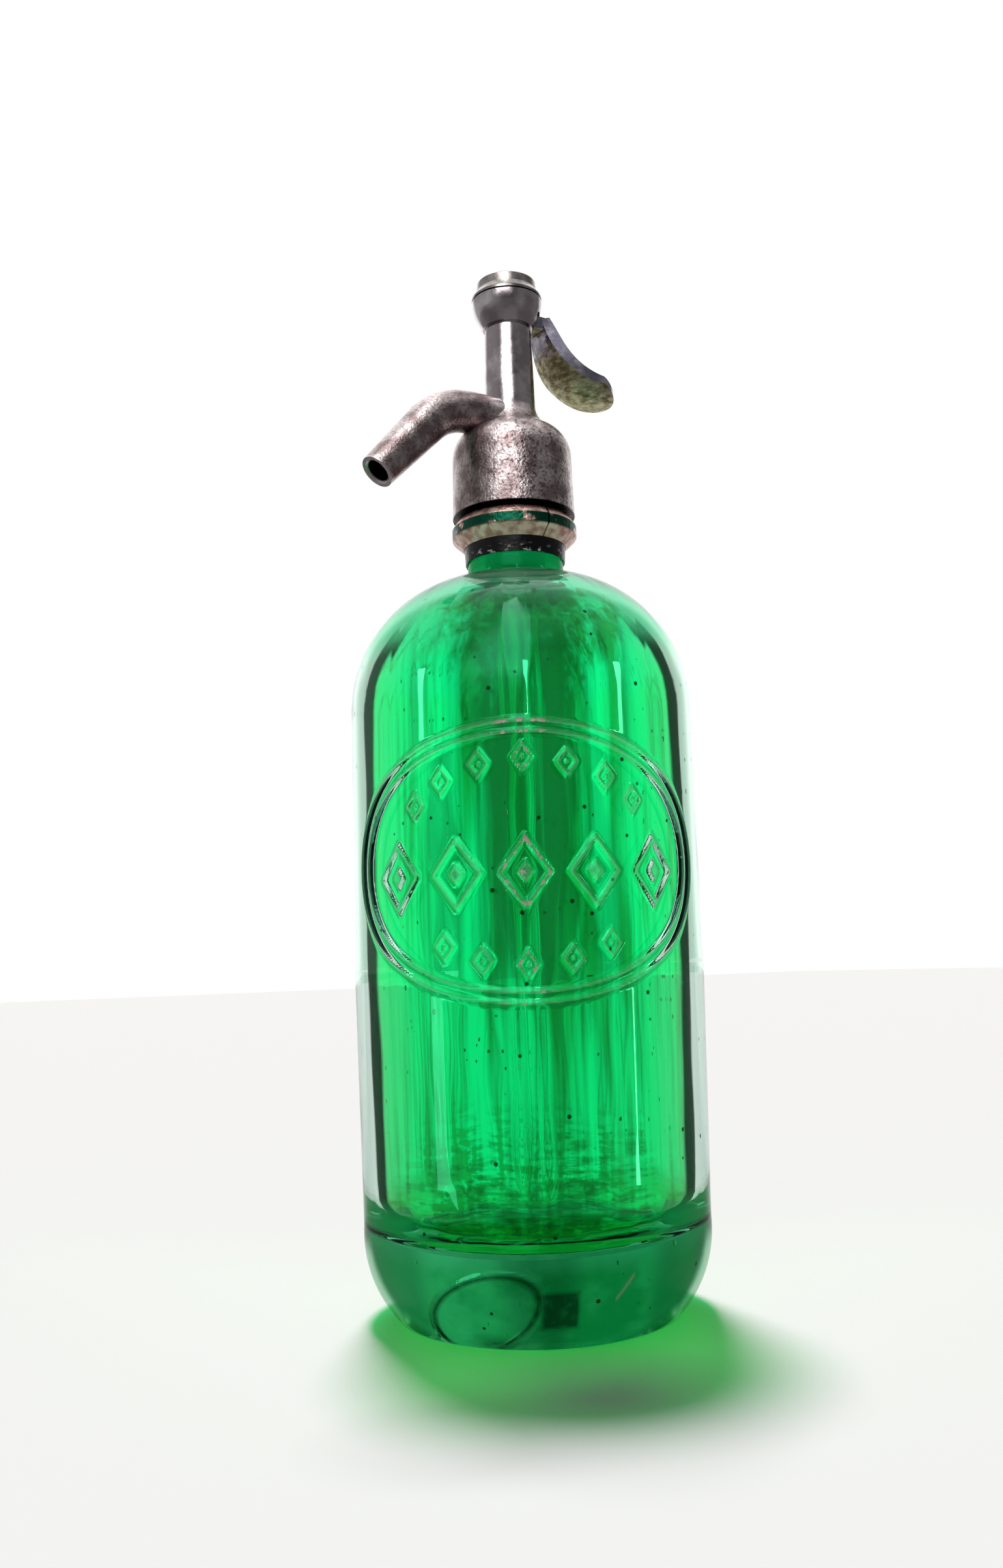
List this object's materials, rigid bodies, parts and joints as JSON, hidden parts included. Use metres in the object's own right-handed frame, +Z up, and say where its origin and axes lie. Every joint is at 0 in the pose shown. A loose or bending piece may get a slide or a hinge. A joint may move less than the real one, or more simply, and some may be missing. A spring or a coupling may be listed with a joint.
{
  "type": "soda siphon",
  "caption": "Free-standing soda siphon: a panelled green glass bottle with a cast metal head, a bent spout and a spring-closed lever valve.",
  "frame": {"origin": "centre of the flat ring that the bottle stands on", "axes": "+Z up the bottle's axis; the spout points along -X and the lever along +X"},
  "size_m": [0.1006, 0.1006, 0.3053],
  "materials": {
    "green_glass": "deep emerald moulded glass",
    "tube_glass": "plain thin glass",
    "rubber": "black, satin",
    "brass": "machined",
    "ring_alloy": "worn tin-plated brass",
    "tin_alloy": "aged tin alloy, pitted",
    "cap_metal": "polished tin alloy",
    "lever_metal": "polished above, tarnished below",
    "steel": "bright"
  },
  "bodies": {
    "bottle": {"glass_bottle": "green_glass", "dip_tube": "tube_glass", "tube_packing": "rubber", "tube_nut": "brass", "neck_gasket": "rubber", "neck_sleeve": "rubber", "neck_ring_left": "ring_alloy", "neck_ring_right": "ring_alloy", "head_casting": "tin_alloy", "valve_seat": "brass", "stem_packing": "rubber", "packing_follower": "brass", "gland_nut": "brass", "lever_pin": "steel", "top_cap": "cap_metal", "cap_gasket": "rubber", "return_spring": "steel"},
    "lever": {"lever": "lever_metal"},
    "stem": {"valve_stem": "brass", "valve_washer": "rubber", "washer_nut": "brass", "lift_nuts": "brass", "spring_seat": "brass"}
  },
  "joints": [
    {"name": "lever_pivot", "type": "hinge", "parent": "bottle", "child": "lever", "pos_m": [0.0075, 0, 0.29367], "axis": [0, 1, 0], "range_deg": [0, 16], "stiffness_Nm_per_rad": 0.8, "springref_deg": -14.32},
    {"name": "stem_lift", "type": "slide", "parent": "bottle", "child": "stem", "axis": [0, 0, 1], "range_m": [0, 0.00215], "deforming": ["return_spring"]}
  ],
  "couplings": [
    {"joint": "stem_lift", "follows": "lever_pivot", "m_per_rad": 0.0075}
  ]
}
